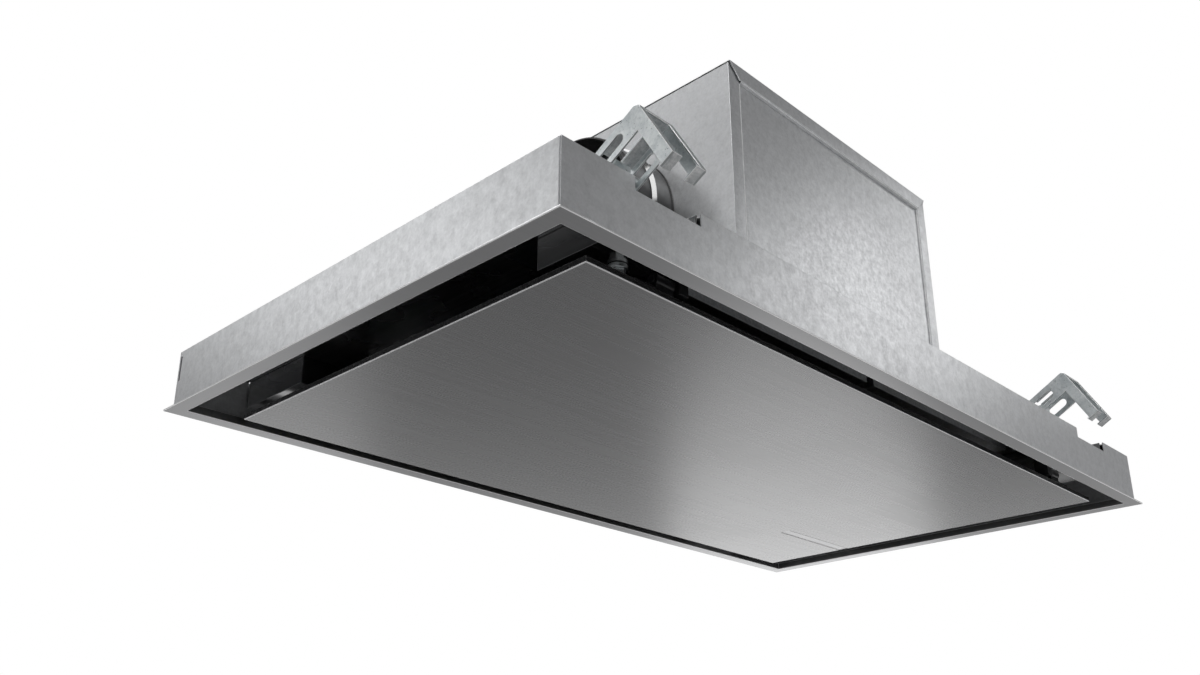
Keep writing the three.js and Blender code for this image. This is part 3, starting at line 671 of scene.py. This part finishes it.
class HOOD_OT_blower_box(bpy.types.Operator):
    """Finish the blower box's sheets and lid"""

    bl_idname = "hood.blower_box"
    bl_label = "Blower box"

    def execute(self, context):
        radius = context.scene.hood_sizes.fold_radius
        for node in ("box_side_left", "box_side_right", "box_panel_front", "box_panel_rear"):
            rounded(node, "galvanised", radius)
        self.lid(radius)
        self.hems()
        return {"FINISHED"}

    def lid(self, radius):
        """The lid, with the ends of its rims cut to a mitre."""
        bm = copy_of("box_lid")
        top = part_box("box_lid")[1].z
        mitre = LID_RIM - 0.001
        for vert in bm.verts:
            if vert.co.z < top - LID_RIM + MERGE * 10:
                vert.co.x -= mitre * (1 if vert.co.x > 0 else -1)
        round_edges(bm, radius)
        mark_cut_edges(bm)
        finished("box_lid_finished", bm, "hood", "galvanised", None, ["box_lid"])

    def hems(self):
        """The folds under the lid's rims and along the side sheets' wrapped flanges, in a lighter sheet that is
        a painted highlight along them.
        """
        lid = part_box("box_lid")[1]
        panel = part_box("box_panel_rear")[1].y + 0.0001
        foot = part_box("box_panel_rear")[0].z
        inset = 0.0002
        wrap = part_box("box_side_left")[1].y - inset
        fold = 0.0011
        below = lid.z - LID_RIM - 0.0003
        reach = lid.x - LID_RIM - 0.001
        beside = lid.x - LID_RIM - inset
        seams = []
        for side in (-1, 1):
            under = sorted((side * panel, side * (lid.y - inset)))
            seams.append(cuboid((-reach, under[0], below - fold), (reach, under[1], below)))
            along = sorted((side * panel, side * wrap))
            for end in (-1, 1):
                across = sorted((end * beside, end * (beside - fold)))
                seams.append(cuboid((across[0], along[0], foot), (across[1], along[1], below - fold - inset)))
        bm = joined(*seams)
        round_edges(bm, fold / 4)
        # The hems' material is painted lighter than the sheet: a painted highlight.
        finished("box_hems", bm, "hood", "galvanised", "hem")


class HOOD_OT_claws(bpy.types.Operator):
    """Finish the four ceiling claws, their wells and nuts, and thread their draw screws"""

    bl_idname = "hood.claws"
    bl_label = "Ceiling claws"

    def execute(self, context):
        sizes = context.scene.hood_sizes
        for corner, _, end in CORNERS:
            self.claw(sizes, corner, end)
            rounded(f"claw_nut_{corner}", "zinc", sizes.fold_radius)
            rounded(f"claw_well_{corner}", "black_plastic", sizes.fold_radius, "well_gloss")
            self.screw(sizes, corner)
        return {"FINISHED"}

    def claw(self, sizes, corner, end):
        """A claw with its cheeks' sheared edges painted dark, partly as the dull sheared steel and partly as
        painted shade, and the rough faces of its feet.
        """
        node = f"claw_{corner}"
        plate = 0.0022
        bm = copy_of(node)
        low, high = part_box(node)
        middle = (low.x + high.x) / 2
        reach = (high.x - low.x) / 2 - plate
        for side in (-1, 1):
            bmesh.ops.bisect_plane(
                bm,
                geom=bm.verts[:] + bm.edges[:] + bm.faces[:],
                dist=MERGE,
                plane_co=(middle + side * reach, 0, 0),
                plane_no=(1, 0, 0),
            )
        round_edges(bm, sizes.fold_radius * 0.9)
        mark_cut_edges(bm, plate)
        cut = bm.faces.layers.float["cut"]
        edge = bm.faces.layers.float["edge"]
        lean = radians(30)
        outward = Vector((0, end * cos(lean), sin(lean)))
        downward = Vector((0, end * sin(lean), -cos(lean)))
        # The cheeks' outward edge faces are marked cut and painted dark: partly the dull sheared steel, partly
        # painted shade along the cheeks' edges.
        for face in bm.faces:
            aside = abs(face.calc_center_median().x - middle) > reach
            if aside and face.normal.dot(outward) > 0.9 and face[edge] < 0.5:
                face[cut] = 1.0
            if face.normal.dot(downward) > 0.9:
                face.material_index = 1
        piece = finished(f"{node}_finished", bm, NODES[node]["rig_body"], "zinc", None, [node])
        piece.data.materials.append(MATERIALS["zinc_foot"])

    def screw(self, sizes, corner):
        """A draw screw: a hexagon head, a washer and a threaded shank."""
        node = f"claw_screw_{corner}"
        low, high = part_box(node)
        axis = ((low.x + high.x) / 2, (low.y + high.y) / 2, 0)
        shank_radius = 0.003
        head_radius = 0.006
        head_height = 0.0055
        washer_height = 0.0032
        collar = low.z + head_height + washer_height
        rod = threaded_rod(shank_radius, sizes.thread_pitch, sizes.thread_depth, collar, high.z)
        rim = [(0, 0), (0.0073, 0), (0.0075, 0.0003), (0.0075, 0.0029)]
        rim += [(0.0072, washer_height), (0, washer_height)]
        washer = lathe(rim, 40)
        bmesh.ops.translate(washer, verts=washer.verts, vec=(0, 0, low.z + head_height))
        head = bmesh.new()
        bmesh.ops.create_cone(
            head,
            cap_ends=True,
            segments=6,
            radius1=head_radius,
            radius2=head_radius,
            depth=head_height,
            matrix=Matrix.Translation((0, 0, low.z + head_height / 2)),
        )
        round_edges(head, 0.0005)
        bm = set_out(joined(rod, washer, head), [Matrix.Translation(axis)])
        finished(f"{node}_threaded", bm, NODES[node]["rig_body"], "zinc", None, [node])


class HOOD_OT_collar(bpy.types.Operator):
    """Turn the duct collar with its beads, and finish the two flaps and their pin"""

    bl_idname = "hood.collar"
    bl_label = "Duct collar"

    def execute(self, context):
        sizes = context.scene.hood_sizes
        low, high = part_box("duct_collar")
        outside = 0.075
        wall = 0.002
        length = high.x - low.x
        ridge = (0.0225, 0.0279)
        ridge_radius = outside + 0.0034
        profile = [(outside - wall, 0), (outside + 0.001, 0), (outside + 0.001, 0.001), (outside, 0.002)]
        profile += [(outside, ridge[0]), (ridge_radius, 0.0248), (ridge_radius, 0.0256), (outside, ridge[1])]
        profile += self.bead(outside, length - 0.006, 0.001)
        profile += [(outside - 0.0002, length - 0.0008), (outside - 0.0008, length), (outside - wall, length)]
        base = (high.x, (low.y + high.y) / 2, (low.z + high.z) / 2)
        bm = set_out(lathe(profile, sizes.round_steps), [facing((-1, 0, 0), base)])
        piece = finished("duct_collar_turned", bm, "hood", "black_plastic", "black_gloss", ["duct_collar"])
        piece.data.materials.append(MATERIALS["rubbed_gloss"])
        for face in piece.data.polygons:
            if ridge[0] < high.x - face.center.x < ridge[1]:
                face.material_index = 1
        for node in ("flap_front", "flap_rear"):
            rounded(node, "black_plastic", sizes.fold_radius * 0.6)
        repainted("flap_pin", "zinc")
        return {"FINISHED"}

    def bead(self, radius, middle, height):
        """A rounded ring's profile."""
        steps = 8
        return [
            (radius + height * sin(pi * i / steps), middle + height * 1.1 * cos(pi * (1 - i / steps)))
            for i in range(steps + 1)
        ]


class HOOD_OT_filters(bpy.types.Operator):
    """Finish the filter tray and frames, lay the filters' wire mesh and finish the latches"""

    bl_idname = "hood.filters"
    bl_label = "Grease filters"

    def execute(self, context):
        sizes = context.scene.hood_sizes
        rounded("filter_tray", "galvanised", sizes.fold_radius)
        for side, _ in SIDES:
            rounded(f"filter_latch_{side}", "grey_plastic", sizes.moulded_radius, segments=3)
            self.framed_filter(sizes, side)
        return {"FINISHED"}

    def framed_filter(self, sizes, side):
        """A filter's frame and inner layers, with two layers of crossed wires below them."""
        node = f"grease_filter_{side}"
        piece = rounded(node, "filter_aluminium", sizes.fold_radius * 1.4, segments=3)
        piece.data.materials.append(MATERIALS["filter_depth"])
        low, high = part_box(node)
        rim = 0.012
        floor = low.z + 0.002
        for face in piece.data.polygons:
            inside = abs(face.center.z - floor) < MERGE * 100 and face.normal.z < -0.9
            if inside and face.area > rim * rim:
                face.material_index = 1
        corners = (Vector((low.x + rim, low.y + rim)), Vector((high.x - rim, high.y - rim)))
        layers = [
            self.wires(sizes, corners, floor - 0.0004, 1),
            self.wires(sizes, corners, floor - 0.0011, -1),
        ]
        finished(f"{node}_mesh", joined(*layers), "hood", "filter_aluminium")

    def wires(self, sizes, corners, height, slope):
        """Parallel diagonal wires across a rectangle, each from one side of it to the other."""
        low, high = corners
        reach = high - low
        bm = bmesh.new()
        step = sizes.mesh_pitch * 2**0.5
        for i in range(1, int((reach.x + reach.y) / step)):
            along = i * step
            start = Vector((max(0.0, along - reach.y), min(along, reach.y)))
            end = Vector((min(along, reach.x), max(0.0, along - reach.x)))
            if slope < 0:
                start.y, end.y = reach.y - start.y, reach.y - end.y
            first = Vector((*(low + start), height))
            last = Vector((*(low + end), height))
            length = (last - first).length
            if length < sizes.mesh_pitch:
                continue
            bmesh.ops.create_cone(
                bm,
                cap_ends=True,
                segments=6,
                radius1=sizes.mesh_wire,
                radius2=sizes.mesh_wire,
                depth=length,
                matrix=facing(last - first, (first + last) / 2),
            )
        return bm


class HOOD_OT_blower(bpy.types.Operator):
    """Finish the blower: inlet bell, scroll, impeller, shaft and motor"""

    bl_idname = "hood.blower"
    bl_label = "Blower"

    def execute(self, context):
        finishes = {
            "inlet_bell": "black_plastic",
            "scroll_housing": "galvanised",
            "scroll_top": "galvanised",
            "impeller": "black_plastic",
            "fan_shaft": "zinc",
            "motor_plate": "galvanised",
            "motor": "galvanised",
        }
        for node, slot in finishes.items():
            repainted(node, slot)
        return {"FINISHED"}


class HOOD_OT_electrics(bpy.types.Operator):
    """Finish the control box and its contents, and turn the cable gland"""

    bl_idname = "hood.electrics"
    bl_label = "Electrics"

    def execute(self, context):
        sizes = context.scene.hood_sizes
        rounded("control_box", "grey_plastic", sizes.moulded_radius)
        rounded("control_lid", "grey_plastic", sizes.moulded_radius)
        repainted("circuit_board", "circuit_board")
        rounded("terminal_block", "grey_plastic", sizes.moulded_radius)
        self.gland()
        return {"FINISHED"}

    def gland(self):
        """The cable gland: a thread through the panel, a nut with a bevelled rim and a domed cap."""
        low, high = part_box("cable_gland")
        radius = (high.x - low.x) / 2
        length = high.y - low.y
        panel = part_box("box_panel_rear")[1].y - low.y
        bore = 0.004
        thread = 0.0078
        profile = [(bore, 0), (thread, 0), (thread, panel + 0.0003), (radius * 0.98, panel + 0.0003)]
        profile += [(radius, panel + 0.0009), (radius, panel + 0.0026), (radius * 0.97, panel + 0.0032)]
        cap_radius = radius * 0.84
        cap_foot = panel + 0.0044
        profile += [(cap_radius, panel + 0.0036), (cap_radius, cap_foot)]
        cap_steps = 10
        for i in range(cap_steps + 1):
            angle = pi / 2 * i / cap_steps
            reach = cap_radius - (cap_radius - bore - 0.0012) * (1 - cos(angle))
            profile.append((reach, cap_foot + (length - cap_foot) * sin(angle)))
        profile += [(bore, length - 0.0006)]
        centre = ((low.x + high.x) / 2, low.y, (low.z + high.z) / 2)
        bm = set_out(lathe(profile, 64), [facing((0, 1, 0), centre)])
        finished("cable_gland_turned", bm, "hood", "black_plastic", None, ["cable_gland"])


class HOOD_OT_fasteners(bpy.types.Operator):
    """Set rivets and screws on the rear, top and roof sheets"""

    bl_idname = "hood.fasteners"
    bl_label = "Fasteners"

    def execute(self, context):
        radius = context.scene.hood_sizes.rivet_radius
        side_low, side_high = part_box("box_side_left")
        lid_low, lid_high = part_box("box_lid")
        wrap_middle = 0.0075
        heights = self.spread(side_low.z + 0.018, lid_low.z - 0.022, 5)
        columns = (side_low.x + wrap_middle, -side_low.x - wrap_middle)
        rear = [facing((0, 1, 0), (x, side_high.y, z)) for x in columns for z in heights]
        finished("rear_rivets", set_out(rivet(radius), rear), "hood", "galvanised")
        inset = 0.018
        lid_columns = self.spread(lid_low.x + inset, lid_high.x - inset, 4)
        rim = lid_high.z - 0.0085
        lid = [facing((0, 1, 0), (x, lid_high.y, rim)) for x in lid_columns]
        lid += [facing((0, 0, 1), (x, y, lid_high.z)) for x in columns for y in self.spread(-0.14, 0.14, 4)]
        finished("lid_screws", set_out(hex_screw(radius * 1.35), lid), "hood", "zinc")
        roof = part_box("roof_plate")[1].z
        claw = 0.342
        clear = 0.05
        stations = [x for x in self.spread(-0.42, 0.42, 7) if abs(abs(x) - claw) > clear]
        rows = [(x, y) for x in stations for y in (-0.225, 0.225)]
        for reach, along in ((0.432, 0.14), (0.185, 0.13)):
            rows += [(x, y) for x in (-reach, reach) for y in self.spread(-along, along, 3)]
        places = [facing((0, 0, 1), (x, y, roof)) for x, y in rows]
        finished("roof_rivets", set_out(rivet(radius), places), "hood", "galvanised")
        return {"FINISHED"}

    def spread(self, low, high, count):
        """Even steps from low to high."""
        return [low + (high - low) * i / (count - 1) for i in range(count)]


class HOOD_OT_stage(bpy.types.Operator):
    """Set the floor, the soft lights, the sky and the camera"""

    bl_idname = "hood.stage"
    bl_label = "Stage"

    def execute(self, context):
        self.floor()
        self.sky(context)
        self.lamp("right", (3.0, -2.0, 1.69), (1.0, 1.0), 4.6)
        self.lamp("left", (-2.61, 2.73, 1.85), (2.3, 1.2), 7.4)
        self.lamp("front_left", (-1.56, -0.73, 1.79), (0.8, 1.4), 11)
        self.lamp("low_right", (2.54, 1.63, -0.7), (0.95, 1.7), 3.5, on_floor=False)
        self.lamp("low_left", (1.0, 2.8, -0.8), (0.8, 1.5), 1.4, on_floor=False)
        self.lamp("top", (-0.8, 1.1, 2.5), (1.8, 1.8), 22)
        self.camera(context)
        return {"FINISHED"}

    def floor(self):
        """A pale floor that brightens with distance, as under a wide overhead light."""
        below = Matrix.Translation((0, 0, -1.9))
        bm = bmesh.new()
        bmesh.ops.create_circle(bm, cap_ends=True, segments=96, radius=24, matrix=below)
        mesh = bpy.data.meshes.new("floor")
        bm.to_mesh(mesh)
        bm.free()
        finish = Finish("pale_floor", 0.6)
        flat = finish.place((1, 1, 0))
        distance = finish.add("ShaderNodeVectorMath", {0: flat}, operation="LENGTH").outputs["Value"]
        haze = finish.span(finish.cloud(3, 4, 0.5), 0.3, 0.7, 0, 1)
        near = finish.mix(haze, (0.51, 0.51, 0.51, 1), (0.54, 0.54, 0.54, 1))
        finish.colour(finish.mix(finish.span(distance, 2.4, 9.0, 0, 1), near, (0.66, 0.66, 0.66, 1)))
        glow = finish.span(distance, 7.0, 13.0, 0.14, 1.25)
        finish.shader.inputs["Emission Color"].default_value = (1, 1, 1, 1)
        finish.tree.links.new(glow, finish.shader.inputs["Emission Strength"])
        mesh.materials.append(finish.material)
        floor = bpy.data.objects.new("floor", mesh)
        bpy.context.scene.collection.objects.link(floor)

    def sky(self, context):
        """White behind the hood, and a soft band at the horizon that fades up and down for what it lights."""
        world = bpy.data.worlds.new("studio")
        context.scene.world = world
        world.use_nodes = True
        tree = world.node_tree
        background = tree.nodes["Background"]
        direction = tree.nodes.new("ShaderNodeTexCoord").outputs["Generated"]
        axes = tree.nodes.new("ShaderNodeSeparateXYZ")
        tree.links.new(direction, axes.inputs[0])
        ramp = tree.nodes.new("ShaderNodeValToRGB")
        height = tree.nodes.new("ShaderNodeMapRange")
        height.inputs["From Min"].default_value = -1
        tree.links.new(axes.outputs["Z"], height.inputs["Value"])
        tree.links.new(height.outputs[0], ramp.inputs[0])
        stops = ((0.0, 0.3), (0.4, 0.4), (0.48, 0.8), (0.55, 0.66), (0.65, 0.17), (1.0, 0.24))
        for position, _ in stops[1:-1]:
            ramp.color_ramp.elements.new(position)
        for element, (position, level) in zip(ramp.color_ramp.elements, stops):
            element.position = position
            element.color = (level, level, level * 1.01, 1)
        seen = tree.nodes.new("ShaderNodeLightPath").outputs["Is Camera Ray"]
        mix = tree.nodes.new("ShaderNodeMix")
        mix.data_type = "RGBA"
        tree.links.new(seen, mix.inputs[0])
        tree.links.new(ramp.outputs[0], mix.inputs[6])
        mix.inputs[7].default_value = (1, 1, 1, 1)
        tree.links.new(mix.outputs[2], background.inputs["Color"])
        context.scene.view_settings.view_transform = "Standard"

    def lamp(self, name, place, size, power, on_floor=True):
        """A soft panel aimed at the hood and hidden from the camera, which may leave the floor unlit."""
        target = Vector((0, 0, 0.1))
        data = bpy.data.lights.new(name, "AREA")
        data.shape = "ELLIPSE"
        data.size, data.size_y = size
        data.energy = power
        lamp = bpy.data.objects.new(name, data)
        lamp.location = place
        lamp.rotation_euler = (target - Vector(place)).to_track_quat("-Z", "Y").to_euler()
        lamp.visible_camera = False
        bpy.context.scene.collection.objects.link(lamp)
        if not on_floor:
            lit = bpy.data.collections.new(f"{name}_lit")
            for piece in bpy.context.scene.objects:
                if piece.type == "MESH" and piece.name != "floor":
                    lit.objects.link(piece)
            lamp.light_linking.receiver_collection = lit

    def camera(self, context):
        """A level-headed camera below the ceiling, near the hood's front-left corner, looking up at it."""
        place = Vector((-0.8632, -0.6853, -0.3529))
        heading = 0.7719  # radians from +X towards +Y
        pitch = 0.368  # radians upward
        view = Vector((cos(heading) * cos(pitch), sin(heading) * cos(pitch), sin(pitch)))
        data = bpy.data.cameras.new("camera")
        data.lens = 34.74
        data.sensor_width = 36
        data.shift_y = 0.05
        data.clip_start = 0.01
        camera = bpy.data.objects.new("camera", data)
        camera.location = place
        camera.rotation_euler = view.to_track_quat("-Z", "Y").to_euler()
        context.scene.collection.objects.link(camera)
        context.scene.camera = camera


STEPS = (
    HOOD_OT_finishes,
    HOOD_OT_casing,
    HOOD_OT_cover,
    HOOD_OT_blower_box,
    HOOD_OT_claws,
    HOOD_OT_collar,
    HOOD_OT_filters,
    HOOD_OT_blower,
    HOOD_OT_electrics,
    HOOD_OT_fasteners,
    HOOD_OT_stage,
)


class HOOD_PT_panel(bpy.types.Panel):
    """Lists the hood's sizes, colours and building steps"""

    bl_label = "Ceiling Hood"
    bl_idname = "HOOD_PT_panel"
    bl_space_type = "VIEW_3D"
    bl_region_type = "UI"
    bl_category = "Hood"

    def draw(self, context):
        for group in (context.scene.hood_sizes, context.scene.hood_colours):
            box = self.layout.box()
            for name in group.bl_rna.properties.keys():
                if name not in ("rna_type", "name"):
                    box.prop(group, name)
        for step in STEPS:
            self.layout.operator(step.bl_idname)


CLASSES = (HoodSizes, HoodColours, *STEPS, HOOD_PT_panel)


def register():
    for cls in CLASSES:
        bpy.utils.register_class(cls)
    bpy.types.Scene.hood_sizes = PointerProperty(type=HoodSizes)
    bpy.types.Scene.hood_colours = PointerProperty(type=HoodColours)


def unregister():
    del bpy.types.Scene.hood_colours
    del bpy.types.Scene.hood_sizes
    for cls in reversed(CLASSES):
        bpy.utils.unregister_class(cls)


def main():
    register()
    bpy.ops.hood.finishes()
    bpy.ops.hood.casing()
    bpy.ops.hood.cover()
    bpy.ops.hood.blower_box()
    bpy.ops.hood.claws()
    bpy.ops.hood.collar()
    bpy.ops.hood.filters()
    bpy.ops.hood.blower()
    bpy.ops.hood.electrics()
    bpy.ops.hood.fasteners()
    bpy.ops.hood.stage()


if __name__ == "__main__":
    main()
